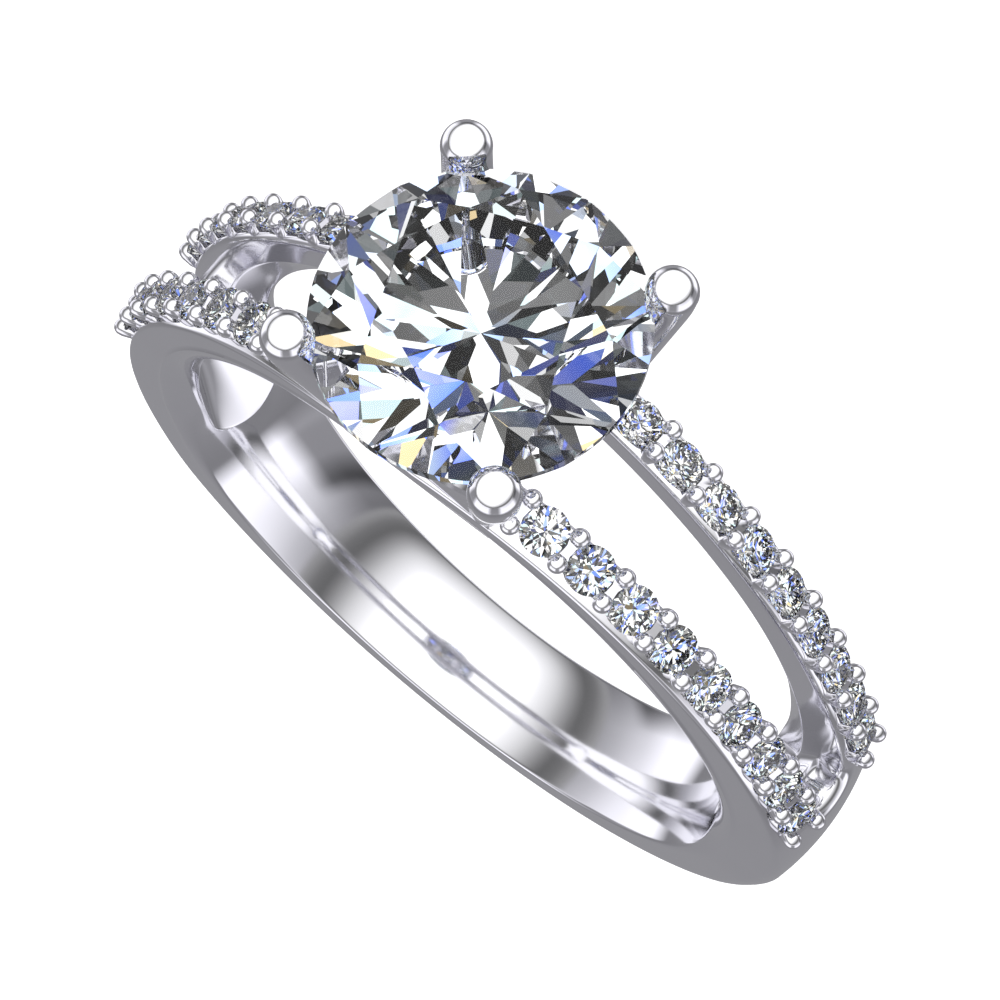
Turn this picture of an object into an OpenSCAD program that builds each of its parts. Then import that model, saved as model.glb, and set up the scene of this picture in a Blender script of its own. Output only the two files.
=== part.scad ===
// Split-shank finger ring with four round-headed claws, one large round brilliant and four rails of
// small brilliants held by pairs of beads. The ring lies on its side, as it rests on a table.
// Working frame before it is laid down: X across the finger, Y along the finger, Z up to the stone,
// with the centre of the finger hole at the origin. Angles round the finger start at the stone.

/* [Band] */
// diameter of the finger hole
hole_d = 17.4; // [14:0.1:22]
// radius of the outside of the lower band, from a centre that is raised towards the stone
band_outer_r = 11.6; // [9:0.05:14]
// how far that centre is raised, which makes the band thinner at the bottom than at the sides
band_rise = 1.15; // [0:0.05:2]
// radius of the crowned outside across the upper half
rail_crown_r = 11.41; // [9:0.05:14]
// radius of the crown across the width of the band
crown_r = 7.1; // [4:0.1:20]
// width of the band at the bottom
base_w = 3.55; // [2:0.1:8]
// width of the band at the level of the finger hole's centre
shoulder_w = 4.4; // [2:0.1:8]
// radius of the rounded edge of the finger hole
hole_edge_r = 0.3; // [0.1:0.05:1]
// flat width inside that rounded edge
hole_flat_w = 3.0; // [2:0.1:6]

/* [Split rails] */
// distance of a rail's centre line from the middle plane, straight above the finger
rail_y = 1.97; // [1:0.01:4]
// slope at which the two rails close on each other towards the shoulders, degrees
rail_toe = 2.75; // [0:0.05:10]
// width of one rail
rail_w = 1.28; // [0.8:0.01:3]
// how far the metal of a rail lies nearer to the middle plane than its bead tops do
rail_shift = 0.06; // [0:0.01:0.3]
// rise of the large inner rounding towards the stone
inner_rise = 0.95; // [0:0.05:2]
// radius, round the finger, at which that rounding meets the side faces
inner_side_r = 9.75; // [8.8:0.05:10.5]
// distance of those side faces from the middle plane at the shoulders
inner_side_y = 2; // [1.5:0.05:2.5]
// radius of the rounding itself
inner_round = 0.8; // [0.4:0.05:1.4]
// height of the slope on the lower edge of a rail, on the side of the gap
gap_slope = 0.6; // [0.2:0.05:1.5]
// width of the bevel along the outer edges of the lower band
edge_bevel = 0.35; // [0.1:0.05:0.8]
// angle round the finger at which the gap between the rails ends
split_angle = 72; // [40:1:85]

/* [Small stones] */
// number of small stones on one half rail
stones_per_half = 9; // [1:1:12]
// angle round the finger of the first pair of beads
bead_start = 12.95; // [5:0.01:30]
// angle from one pair of beads to the next
bead_pitch = 6.83; // [4:0.01:15]
// radius of a bead
bead_r = 0.236; // [0.1:0.002:0.5]
// distance between the two beads of a pair, centre to centre
bead_gap = 0.77; // [0.4:0.01:2]
// distance of the bead tops from the finger's axis
bead_top_r = 11.78; // [10:0.01:14]
// outward lean of the beads and small stones, degrees
bead_lean = 13; // [0:1:25]
// diameter of a small stone
accent_d = 1.18; // [0.8:0.01:3]
// depth of the small stones' girdles below the bead tops
accent_depth = 0.36; // [0.1:0.01:1]

/* [Centre stone] */
// diameter of the centre stone
stone_d = 7.5; // [4:0.1:12]
// height of its girdle above the finger's axis
stone_z = 14.64; // [11:0.01:20]
// table width as a part of the diameter
table_part = 0.56; // [0.45:0.01:0.7]
// slope of the crown facets, degrees
crown_angle = 34.5; // [25:0.5:40]
// slope of the pavilion facets, degrees
pavilion_angle = 40.8; // [38:0.1:45]

/* [Claws] */
// distance of a claw head from the middle, across the finger
claw_x = 2.87; // [1:0.01:6]
// distance of a claw head from the middle, along the finger
claw_y = 2.985; // [1:0.01:6]
// height of the claw tops above the finger's axis
claw_top_z = 15.5; // [12:0.01:22]
// radius of a claw head
claw_r = 0.58; // [0.3:0.01:1.2]
// distance of a claw's foot from the middle, across the finger
foot_x = 1.85; // [1:0.01:4]
// distance of a claw's foot from the middle, along the finger
foot_y = 1.85; // [1:0.01:4]
// height of a claw's foot above the finger's axis
foot_z = 10.9; // [9:0.01:13]
// width of each cross bridge under the stone
bridge_w = 0.8; // [0.4:0.05:2]
// distance of a cross bridge from the middle
bridge_x = 1.2; // [0.6:0.05:3]

/* [Rest] */
// tilt at which the ring lies on its side, on the stone's rim and the band's edge, degrees
rest_tilt = 4.587; // [0:0.001:15]
// height of the finger hole's centre above the table
rest_z = 2.58; // [1:0.001:5]
// shift that brings the middle of the footprint to the origin
rest_y = -2.78; // [-6:0.001:6]

/* [Colour] */
// colour of the metal
metal = [0.78, 0.78, 0.8]; // [0:0.01:1] for red, green and blue
// colour of the stones
gem = [0.85, 0.92, 0.98]; // [0:0.01:1] for red, green and blue

/* [Hidden] */
$fn = 48;
gap = 0.02;
hole_r = hole_d / 2;
base_r = band_outer_r - band_rise;
side_slope = atan((shoulder_w - base_w) / 2 / base_r);
letters = ["fr", "fl", "nr", "nl"];

// lays a shape turned about Z along the finger, its first angle pointing up
module along_finger() { rotate([-90, -90, 0]) children(); }

// places a thing at an angle round the finger, a distance along it and a distance from its axis
module round_finger(angle, y, r) { rotate([0, angle, 0]) translate([0, y, r]) children(); }

// the four quarters: right and left, far and near
module quarter(x_side, y_side)
  mirror([x_side < 0 ? 1 : 0, 0, 0]) mirror([0, y_side < 0 ? 1 : 0, 0]) children();

// distance of a rail's centre line from the middle plane at an angle round the finger
function rail_line(angle) = rail_y - tan(rail_toe) * rail_crown_r * sin(angle);

// angle of the pair of beads before stone number i
function pair_angle(i) = bead_start + bead_pitch * (i - 1);

// section of the ring's outside: a shallow crown with rounded corners, its top at radius r
module crown_section(r, w) {
  intersection() {
    translate([r - crown_r, 0]) circle(crown_r, $fn = 96);
    translate([4, -w / 2]) square([r, w]);
  }
}

// the outside of the whole ring: the crown round the finger's axis above, the raised one below
module outside() {
  intersection() {
    along_finger() rotate_extrude($fn = 160) crown_section(rail_crown_r, 6);
    translate([0, 0, band_rise]) along_finger() rotate_extrude($fn = 160) crown_section(band_outer_r, 6);
  }
}

// plate that leans to both sides of the middle plane, wider towards the stone: the lower band's sides
module lower_block() {
  rotate([90, 0, 90])
    linear_extrude(height = 30, center = true)
      polygon([
        [-base_w / 2 + (15 - base_r) * tan(side_slope), -15],
        [base_w / 2 - (15 - base_r) * tan(side_slope), -15],
        [shoulder_w / 2 + 15 * tan(side_slope), 15],
        [-shoulder_w / 2 - 15 * tan(side_slope), 15],
      ]);
}

// the sector of the lower band; its two ends are ridged where the gap between the rails ends
module lower_sector() {
  radii = [8.59, 9.4, 10.3, 12.3];
  turns = [split_angle + 40, split_angle + 21, split_angle, split_angle + 11];
  rotate([90, 0, 0])
    linear_extrude(height = 8, center = true)
      polygon(concat(
        [for (k = [0 : 3]) [radii[k] * sin(turns[k]), radii[k] * cos(turns[k])]],
        [[15, -15], [-15, -15]],
        [for (k = [3 : -1 : 0]) [-radii[k] * sin(turns[k]), radii[k] * cos(turns[k])]]
      ));
}

// prism between the outer faces of the rails, which close towards the shoulders
module toed_block() {
  far = rail_y - rail_shift + rail_w / 2;
  near = far - 15 * tan(rail_toe);
  translate([0, 0, -15])
    linear_extrude(height = 30)
      polygon([[15, near], [0, far], [-15, near], [-15, -near], [0, -far], [15, -near]]);
}

// one rail over both halves of the upper ring: two plates that close towards the shoulders
module rail_plates() {
  for (side = [0, 1])
    mirror([side, 0, 0])
      translate([0, rail_y - rail_shift, 0])
        rotate([0, 0, -rail_toe])
          translate([-0.2, -rail_w / 2, -3.4]) cube([13, rail_w, 16]);
}

// metal that the finger hole takes away, with rounded edges on both sides
module finger_hole() {
  edge_y = hole_flat_w / 2;
  along_finger()
    rotate_extrude($fn = 160)
      difference() {
        translate([0, -4]) square([hole_r + hole_edge_r, 8]);
        translate([hole_r, -edge_y]) square([1, 2 * edge_y]);
        for (side = [-1, 1]) translate([hole_r + hole_edge_r, side * edge_y]) circle(hole_edge_r);
      }
}

// large rounding between the finger hole and both side faces; it rises towards the stone, so the rails
// are thin there and the bottom of the band keeps its full section
module inner_rounding() {
  half = inner_side_y;
  translate([0, 0, inner_rise])
    along_finger()
      rotate_extrude($fn = 160)
        difference() {
          translate([0, -half - 1]) square([inner_side_r, 2 * half + 2]);
          translate([inner_side_r - inner_round, inner_round - half]) square([2, 2 * (half - inner_round)]);
          for (side = [-1, 1])
            translate([inner_side_r, side * (half - inner_round)]) circle(inner_round, $fn = 96);
        }
}

// slopes on the rails' lower edges along the gap
module gap_slopes() {
  wall = rail_y - rail_w / 2 - 0.4;
  low = inner_side_r - inner_round + 0.1;
  translate([0, 0, inner_rise])
    along_finger()
      rotate_extrude($fn = 160)
        polygon([
          [0, -wall - 0.5], [low, -wall - 0.5], [low + gap_slope, -wall],
          [low + gap_slope, wall], [low, wall + 0.5], [0, wall + 0.5],
        ]);
}

// bevels along the two outer edges of the lower band
module edge_bevels() {
  half = shoulder_w / 2 - 0.1;
  corner = band_outer_r - crown_r + sqrt(crown_r * crown_r - half * half);
  for (y_side = [-1, 1])
    quarter(1, y_side)
      rotate([-side_slope, 0, 0])
        translate([0, 0, band_rise])
          along_finger()
            rotate_extrude($fn = 160)
              polygon([
                [corner - 2 * edge_bevel, half + edge_bevel], [corner + edge_bevel, half - 1.6 * edge_bevel],
                [corner + 2, half - 1.6 * edge_bevel], [corner + 2, half + edge_bevel],
              ]);
}

// post with a rounded top; the top stands at the origin
module bead() {
  rotate_extrude($fn = 24)
    intersection() {
      translate([0, -1]) square([1, 2]);
      translate([0, -bead_r]) union() {
        circle(bead_r);
        translate([0, -0.5]) square([bead_r, 0.5]);
      }
    }
}

// place at the bead tops, midway between the two beads of a pair, leaning outward with the rail
module on_half_rail(angle) {
  round_finger(angle, rail_line(angle), bead_top_r) rotate([-bead_lean, 0, 0]) children();
}

// flat bridges between the stones of one half rail, and the pairs of beads on both sides of them
module beads_and_bridges() {
  for (i = [1 : stones_per_half + 1])
    on_half_rail(pair_angle(i)) {
      for (side = [-1, 1]) translate([0, side * bead_gap / 2, 0]) bead();
      translate([-0.16, -0.2, -0.9]) cube([0.32, 0.4, 0.9 - accent_depth + 0.04]);
    }
}

// claw: a leaning post, a round joint and an upright domed head
module claw() {
  rim = 0.3;
  bend_z = claw_top_z - claw_r - 0.12;
  way = [claw_x - foot_x, claw_y - foot_y, bend_z - foot_z];
  translate([foot_x, foot_y, foot_z])
    rotate([0, acos(way[2] / norm(way)), atan2(way[1], way[0])])
      cylinder(h = norm(way), r1 = claw_r + 0.04, r2 = claw_r);
  translate([claw_x, claw_y, bend_z]) sphere(claw_r + 0.02);
  translate([claw_x, claw_y, claw_top_z])
    rotate_extrude()
      union() {
        translate([0, bend_z - claw_top_z]) square([claw_r, claw_top_z - bend_z - rim]);
        translate([0, -rim - 0.05]) square([claw_r - rim, rim + 0.05]);
        translate([claw_r - rim, -rim]) intersection() { circle(rim); square(rim); }
      }
}

// wall that joins the two claws of one rail, hollowed in the middle
module gallery_wall() {
  top = 12.5;
  difference() {
    translate([-foot_x - 0.3, rail_y - rail_shift - rail_w / 2, 10.2])
      cube([2 * foot_x + 0.6, rail_w - 0.12, top - 10.2]);
    translate([0, 6, 14.25]) rotate([90, 0, 0]) cylinder(h = 12, r = 2.85);
  }
}

// outline of a round brilliant turned about its axis, with a margin all round
module stone_room(d, margin) {
  r = d / 2 + margin;
  rim = 0.02 * d;
  up = (1 - table_part) * d / 2 * tan(crown_angle);
  down = d / 2 * tan(pavilion_angle);
  rotate_extrude($fn = 64)
    polygon([
      [0, -down - rim / 2 - 1.6 * margin], [r, -rim / 2 - 0.3 * margin], [r, rim / 2 + 0.3 * margin],
      [table_part * d / 2 + margin, up + rim / 2 + margin], [0, up + rim / 2 + margin],
    ]);
}

// round brilliant with 57 facets, its girdle's middle plane at the origin
module brilliant(d) {
  r = d / 2;
  c = cos(22.5);
  rim = 0.02 * d;
  rt = table_part * r;
  zt = rim / 2 + (r - rt) * tan(crown_angle);
  zc = -rim / 2 - r * tan(pavilion_angle);
  rs = (rt * c + r) / 2;
  zs = zt - (rs * c - rt) * tan(crown_angle);
  rl = 0.24 * r;
  zl = zc + rl * c * tan(pavilion_angle);
  pts = concat(
    [for (k = [0 : 7]) [rt * cos(45 * k), rt * sin(45 * k), zt]],
    [for (k = [0 : 7]) [rs * cos(45 * k + 22.5), rs * sin(45 * k + 22.5), zs]],
    [for (k = [0 : 15]) [r * cos(22.5 * k), r * sin(22.5 * k), rim / 2]],
    [for (k = [0 : 15]) [r * cos(22.5 * k), r * sin(22.5 * k), -rim / 2]],
    [for (k = [0 : 7]) [rl * cos(45 * k + 22.5), rl * sin(45 * k + 22.5), zl]],
    [[0, 0, zc]]
  );
  polyhedron(
    points = pts,
    faces = concat(
      [[for (k = [7 : -1 : 0]) k]],
      [for (k = [0 : 7]) [k, (k + 1) % 8, 8 + k]],
      [for (k = [0 : 7]) [8 + k, 16 + 2 * k, 8 + (k + 7) % 8, k]],
      [for (k = [0 : 7]) [8 + k, 16 + 2 * k + 1, 16 + 2 * k]],
      [for (k = [0 : 7]) [8 + k, 16 + (2 * k + 2) % 16, 16 + 2 * k + 1]],
      [for (k = [0 : 15]) [16 + k, 16 + (k + 1) % 16, 32 + (k + 1) % 16, 32 + k]],
      [for (k = [0 : 7]) [48 + k, 32 + 2 * k, 32 + 2 * k + 1]],
      [for (k = [0 : 7]) [48 + k, 32 + 2 * k + 1, 32 + (2 * k + 2) % 16]],
      [for (k = [0 : 7]) [56, 48 + (k + 7) % 8, 32 + 2 * k, 48 + k]]
    )
  );
}

// the ring laid down on its far side, on the table at height 0
module laid_down() { translate([0, rest_y, rest_z]) rotate([rest_tilt - 90, 0, 0]) children(); }

// place of small stone number i on one half rail
module stone_place(i) { on_half_rail(pair_angle(i) + bead_pitch / 2) translate([0, 0, -accent_depth]) children(); }

module band() {
  color(metal) laid_down() difference() {
    union() {
      intersection() {
        difference() {
          union() {
            intersection() { lower_sector(); lower_block(); toed_block(); }
            difference() {
              for (y_side = [-1, 1]) quarter(1, y_side) rail_plates();
              gap_slopes();
            }
          }
          edge_bevels();
        }
        outside();
      }
      for (x_side = [-1, 1], y_side = [-1, 1]) quarter(x_side, y_side) {
        beads_and_bridges();
        claw();
      }
      for (y_side = [-1, 1]) quarter(1, y_side) gallery_wall();
      for (side = [-1, 1])
        translate([side * bridge_x, 0, 10.5]) cube([bridge_w, 2 * rail_y - 0.6, 0.9], center = true);
    }
    finger_hole();
    inner_rounding();
    for (x_side = [-1, 1], y_side = [-1, 1], i = [1 : stones_per_half])
      quarter(x_side, y_side) stone_place(i) stone_room(accent_d, gap);
    translate([0, 0, stone_z]) stone_room(stone_d, gap);
  }
}

module centre_stone() {
  color(gem) laid_down() translate([0, 0, stone_z]) intersection() {
    brilliant(stone_d / cos(11.25) * 1.004);
    cylinder(h = stone_d, r = stone_d / 2, center = true, $fn = 96);
  }
}

module accent_stone(x_side, y_side, i) {
  color(gem) laid_down() quarter(x_side, y_side) stone_place(i) brilliant(accent_d);
}

band();
centre_stone();
for (q = [0 : 3], i = [1 : stones_per_half])
  accent_stone(q % 2 == 0 ? 1 : -1, q < 2 ? 1 : -1, i);
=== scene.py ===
import math

import bmesh
import bpy
import numpy as np
from mathutils import Matrix, Vector


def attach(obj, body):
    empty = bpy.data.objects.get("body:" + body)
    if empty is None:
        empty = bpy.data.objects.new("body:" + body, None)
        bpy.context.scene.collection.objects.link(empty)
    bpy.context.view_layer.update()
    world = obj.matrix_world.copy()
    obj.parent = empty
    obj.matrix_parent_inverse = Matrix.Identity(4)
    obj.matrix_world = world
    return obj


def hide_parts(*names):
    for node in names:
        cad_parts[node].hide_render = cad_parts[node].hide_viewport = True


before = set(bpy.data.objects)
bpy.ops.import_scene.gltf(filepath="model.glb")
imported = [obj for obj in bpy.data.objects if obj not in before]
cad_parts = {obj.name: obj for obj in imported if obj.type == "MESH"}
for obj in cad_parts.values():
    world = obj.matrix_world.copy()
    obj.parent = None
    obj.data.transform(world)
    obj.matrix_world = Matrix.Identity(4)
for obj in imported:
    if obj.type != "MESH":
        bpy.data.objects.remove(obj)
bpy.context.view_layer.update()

# Sizes in millimetres, in the frame of the standing ring: X across the finger, Y along it, Z up to the
# large stone. Angles round the finger start at the stone. to_table() takes a shape to its rest.
MM_PER_M = 1000
REST = Matrix.Translation((0, -2.78, 2.58)) @ Matrix.Rotation(math.radians(4.587 - 90), 4, "X")
QUARTERS = [(1, 1), (-1, 1), (1, -1), (-1, -1)]

# the finger hole: its radius, the curve across the band that widens it to the sides, its broken edge
HOLE_R, FIT_R, FIT_EDGE = 8.7, 5.4, 0.08
# the outside: a circle with a raised middle, cut off at the crown's height, and the curve across the band
OUTER_R, OUTER_RISE = 11.6, 1.15
CROWN_TOP, CROWN_R = 11.41, 7.1
# the inside of the rails: a circle with a raised middle, and the rounding from the side face
INNER_R, INNER_RISE, INNER_ROUND = 9.75, 0.95, 0.8
# a rail: distance of its middle from the middle plane at the stone, how it closes in away from there,
# and its width at a radius round the finger
RAIL_Y, RAIL_TOE, RAIL_W, RAIL_R = 1.91, math.tan(math.radians(2.75)), 1.28, 11.0
# the lower band's side face: its distance from the middle plane at a height, and its slope
LOW_Y, LOW_Z, LOW_SLOPE = 1.775, -10.45, 0.0407
# radius round the finger at which the side face ends, and how far outside the inner rounding it stops
FOOT_R, FOOT_OUT = 9.1, 0.02
# how softly two surfaces run into each other: at the crown, at the side face and inside
CROWN_SOFT, SIDE_SOFT, INNER_SOFT = 0.12, 0.06, 0.05
# rounding between the crown and the side face: on the rails, what the shoulders add to its width and
# height, and what the lower band takes off again
EDGE_ROUND, SHOULDER_WIDE, SHOULDER_HIGH, BASE_LESS = 0.09, 0.34, 0.4, 0.1
# where each of these two changes starts round the finger, and how long it lasts
SHOULDER_START, SHOULDER_LONG = math.radians(76), math.radians(30)
BASE_START, BASE_LONG = math.radians(125), math.radians(40)

# small stones of a half rail: their number, and the angles of the first pair of beads and between pairs
STONES, PAIR_START, PAIR_PITCH = 9, 12.95, 6.83
# beads: radius, distance of a pair, height of the tops, outward lean, and how far outside the rail's
# middle the pair stands
BEAD_R, BEAD_GAP, BEAD_TOP, BEAD_LEAN, BEAD_OUT = 0.236, 0.77, 11.78, 13.0, 0.06
# how much higher the last beads of a row are, and at which angle
END_RISE, END_ANGLE = 0.12, 75
# small stones: diameter, and depth of the girdle under the bead tops
SMALL_D, SMALL_DEPTH = 1.18, 0.36
# the large stone: diameter, and height of the girdle
STONE_D, STONE_Z = 7.5, 14.64

# points closer than this are one point; the band's quarters are joined over a wider distance
MERGE, BAND_MERGE = 1e-6, 2e-4
# edges that turn by more degrees than this stay crisp
CRISP, CLAW_CRISP = 38, 50


def mesh_object(name, points, faces, smooth=True):
    mesh = bpy.data.meshes.new(name)
    mesh.from_pydata([tuple(p) for p in points], [], [tuple(f) for f in faces])
    mesh.validate()
    made = bpy.data.objects.new(name, mesh)
    bpy.context.scene.collection.objects.link(made)
    mesh.polygons.foreach_set("use_smooth", [smooth] * len(mesh.polygons))
    return made


def weld(obj, distance):
    """Merges doubles and turns all faces outward."""
    bm = bmesh.new()
    bm.from_mesh(obj.data)
    bmesh.ops.remove_doubles(bm, verts=bm.verts, dist=distance)
    bmesh.ops.dissolve_degenerate(bm, edges=bm.edges, dist=distance / 2)
    bmesh.ops.recalc_face_normals(bm, faces=bm.faces)
    bm.to_mesh(obj.data)
    bm.free()


def sharp_from(obj, degrees):
    """Smooth shading, with edges that turn by more than the angle kept crisp."""
    bm = bmesh.new()
    bm.from_mesh(obj.data)
    for e in bm.edges:
        e.smooth = len(e.link_faces) == 2 and e.calc_face_angle(0) < math.radians(degrees)
    for f in bm.faces:
        f.smooth = True
    bm.to_mesh(obj.data)
    bm.free()


def step(x):
    x = np.clip(x, 0, 1)
    return x * x * (3 - 2 * x)


def soft_least(a, b, k):
    h = np.clip(k - np.abs(a - b), 0, None) / k
    return np.minimum(a, b) - h * h * k / 4


# share of the way to the corner at which a cubic curve follows a quarter circle
ARC_SHARE = 0.5523


def bend(p0, corner, p1, t):
    """Round corner from p0 to p1, at t from 0 to 1."""
    a, b = p0 + (corner - p0) * ARC_SHARE, p1 + (corner - p1) * ARC_SHARE
    return (1 - t) ** 3 * p0 + 3 * (1 - t) ** 2 * t * a + 3 * (1 - t) * t * t * b + t ** 3 * p1


def tube_faces(start, rings, sides):
    """Faces of a closed tube: quads between its rings of points, and a cap at each end."""
    faces = []
    for i in range(rings - 1):
        low, high = start + i * sides, start + (i + 1) * sides
        for k in range(sides):
            m = (k + 1) % sides
            faces.append((low + k, low + m, high + m, high + k))
    last = start + (rings - 1) * sides
    return faces + [tuple(range(start, start + sides)), tuple(range(last, last + sides))]


# the shank and the four half rails

def crown_top(turn):
    raised = OUTER_RISE * np.cos(turn) + np.sqrt(OUTER_R ** 2 - (OUTER_RISE * np.sin(turn)) ** 2)
    return soft_least(raised, CROWN_TOP, CROWN_SOFT)


def crown(turn, y):
    return crown_top(turn) - CROWN_R + np.sqrt(CROWN_R ** 2 - y * y)


def side_y(turn, r):
    """Distance of the side face from the middle plane."""
    toed = RAIL_Y + RAIL_W / 2 - RAIL_TOE * r * np.sin(turn)
    lower = LOW_Y + (r * np.cos(turn) - LOW_Z) * LOW_SLOPE
    return soft_least(toed, lower, SIDE_SOFT)


def from_raised(turn, r):
    """Radius round the finger of a circle round the raised middle of the rails' inside."""
    return INNER_RISE * np.cos(turn) + np.sqrt(r * r - (INNER_RISE * np.sin(turn)) ** 2)


def hole(y, side=math.inf):
    """The finger hole, widest at the sides for an easy fit, with its edge at the side face broken."""
    edge = np.clip(y - side + FIT_EDGE, 0, FIT_EDGE)
    return HOLE_R + FIT_R - np.sqrt(FIT_R ** 2 - y ** 2) + FIT_EDGE - np.sqrt(FIT_EDGE ** 2 - edge ** 2)


def outer_corner(turn):
    """Width and height of the rounding between the crown and the side face."""
    shoulder = step((turn - SHOULDER_START) / SHOULDER_LONG)
    base = step((turn - BASE_START) / BASE_LONG)
    wide = EDGE_ROUND + SHOULDER_WIDE * shoulder - BASE_LESS * base
    high = EDGE_ROUND + SHOULDER_HIGH * shoulder - BASE_LESS * base
    return wide, high


def polar(turn, y, r):
    return np.stack([r * np.sin(turn), y, r * np.cos(turn)], -1)


# contours round the gap, from the crown down to the finger hole: where each one ends on the middle
# plane, in degrees, and the length of its rounded end
GAP_LINES = [(81.5, 0.62), (82, 0.6), (86, 0.7), (101, 1.1)]
CROWN_LINE, UPPER_LINE, LOWER_LINE, HOLE_LINE = range(4)
# share of a contour's steps before its rounded end
STRAIGHT = 0.8
# the lowest contour follows the side face at this radius, a little outside the inner rounding
RIDGE_R, RIDGE_OUT = 9.5, 0.05
# rounding of the gap's upper edge, what it gains at the end of the gap, and over which steps
GAP_ROUND, END_ROUND, END_FROM, END_LONG = 0.24, 0.14, 0.72, 0.2
# rounding of the gap's lower edge
RIDGE_ROUND = 0.07
# the wall's upper bend: its radius round the finger, and how much lower it is at the end of the gap
UPPER_R, UPPER_DROP = 10.45, 0.12
# radii round the raised middle of the wall's lower bend and of its lower edge
LOWER_R, RIDGE_RAISED = 9.79, 8.975
# roundings of the two bends, what each gains at the end of the gap, and over which steps
UPPER_ROUND, UPPER_MORE, LOWER_ROUND, LOWER_MORE = 0.1, 0.1, 0.12, 0.2
CLOSE_FROM, CLOSE_LONG = 0.8, 0.2

# rows along the gap and on from its end, and how evenly the latter are spaced
GAP_ROWS, LOW_ROWS, EVEN = 150, 120, 0.75
# columns over the crown, the rounded corner, the side face and the inside
CROWN_COLS, CORNER_COLS, SIDE_COLS, INNER_COLS = 10, 9, 7, 30
# power that moves the side face's columns towards the inside
SIDE_SPACING = 0.9


def contour(u, which, wall, grow=0.0):
    """Angle and distance from the middle plane of a contour round the gap, at u from 0 to 1."""
    end, length = GAP_LINES[which]
    length = (length + grow) / RAIL_R
    end = math.radians(end) + grow / RAIL_R
    start = end - length
    phi = np.clip((u - STRAIGHT) / (1 - STRAIGHT), 0, 1) * math.pi / 2
    turn = np.where(u < STRAIGHT, start * u / STRAIGHT, start + length * np.sin(phi))
    y = wall(turn) + grow
    return turn, np.where(u < STRAIGHT, y, y * np.cos(phi))


def wall_y(turn):
    return side_y(turn, RAIL_R) - RAIL_W


def ridge_y(turn):
    return side_y(turn, RIDGE_R) - INNER_ROUND + RIDGE_OUT


def round_size(u):
    return GAP_ROUND + END_ROUND * step((u - END_FROM) / END_LONG)


def crown_strip(turn, gap_y):
    """Distance from the middle plane and radius round the finger, from the gap over the crown."""
    t = np.linspace(0, 1, CROWN_COLS + 1)[:-1]
    wide = outer_corner(turn)[0]
    y = gap_y + (side_y(turn, crown_top(turn)) - wide - gap_y) * t
    return y, crown(turn, y)


def corner_strip(turn):
    """The same over the rounded corner between the crown and the side face."""
    t = np.linspace(0, 1, CORNER_COLS)
    wide, high = outer_corner(turn)
    edge = side_y(turn, crown_top(turn))
    corner_r = crown(turn, edge)
    y = bend(edge - wide, edge, side_y(turn, corner_r - high), t)
    return y, bend(crown(turn, edge - wide), corner_r, corner_r - high, t)


def side_strip(turn):
    """The same down the side face."""
    t = np.linspace(0, 1, SIDE_COLS + 1)[1:] ** SIDE_SPACING
    start = crown(turn, side_y(turn, crown_top(turn))) - outer_corner(turn)[1]
    foot = side_y(turn, FOOT_R)
    stop = np.maximum(from_raised(turn, INNER_R), hole(foot, foot)) + FOOT_OUT
    r = start + (stop - start) * t
    return side_y(turn, r), r


def inside_strip(turn, gap_y):
    """The same over the inner rounding and the inside, back to the gap."""
    t = np.linspace(0, 1, INNER_COLS + 1)[1:]
    edge = side_y(turn, FOOT_R)
    centre = edge - INNER_ROUND
    last_angle = np.arccos(np.clip((gap_y - centre) / INNER_ROUND, 0, 1))
    flat = np.clip(centre - gap_y, 0, None)
    along = (INNER_ROUND * last_angle + flat) * t
    angle = np.clip(along / INNER_ROUND, 0, last_angle)
    y = centre + INNER_ROUND * np.cos(angle) - np.clip(along - INNER_ROUND * last_angle, 0, None)
    rounded = from_raised(turn, INNER_R - INNER_ROUND * np.sin(angle))
    return y, -soft_least(-rounded, -hole(y, edge), INNER_SOFT)


def band_grid(u):
    """A quarter of the band: rows round the finger, columns over the crown, the side and the inside."""
    top_turn, top_y = contour(u, CROWN_LINE, wall_y, round_size(u))
    low_turn, low_y = contour(u, HOLE_LINE, ridge_y, RIDGE_ROUND)
    v = np.linspace(0, 1, LOW_ROWS)[1:]
    v = v * EVEN + (1 - EVEN) * v ** 2
    first = np.concatenate([top_turn, top_turn[-1] + (math.pi - top_turn[-1]) * v])[:, None]
    last = np.concatenate([low_turn, low_turn[-1] + (math.pi - low_turn[-1]) * v])[:, None]
    top_y = np.concatenate([top_y, 0 * v])[:, None]
    low_y = np.concatenate([low_y, 0 * v])[:, None]
    cols = np.cumsum([CROWN_COLS, CORNER_COLS, SIDE_COLS, INNER_COLS])
    turn = first + (last - first) * step(np.linspace(0, 1, cols[-1]))
    over_crown, over_corner, down_side, over_inside = np.split(turn, cols[:-1], axis=1)
    strips = [
        crown_strip(over_crown, top_y), corner_strip(over_corner),
        side_strip(down_side), inside_strip(over_inside, low_y),
    ]
    y, r = (np.concatenate(part, axis=1) for part in zip(*strips))
    return polar(turn, y, r)


def toward(a, b, distance):
    way = b - a
    return a + way * (distance / np.linalg.norm(way, axis=1))[:, None]


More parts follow.
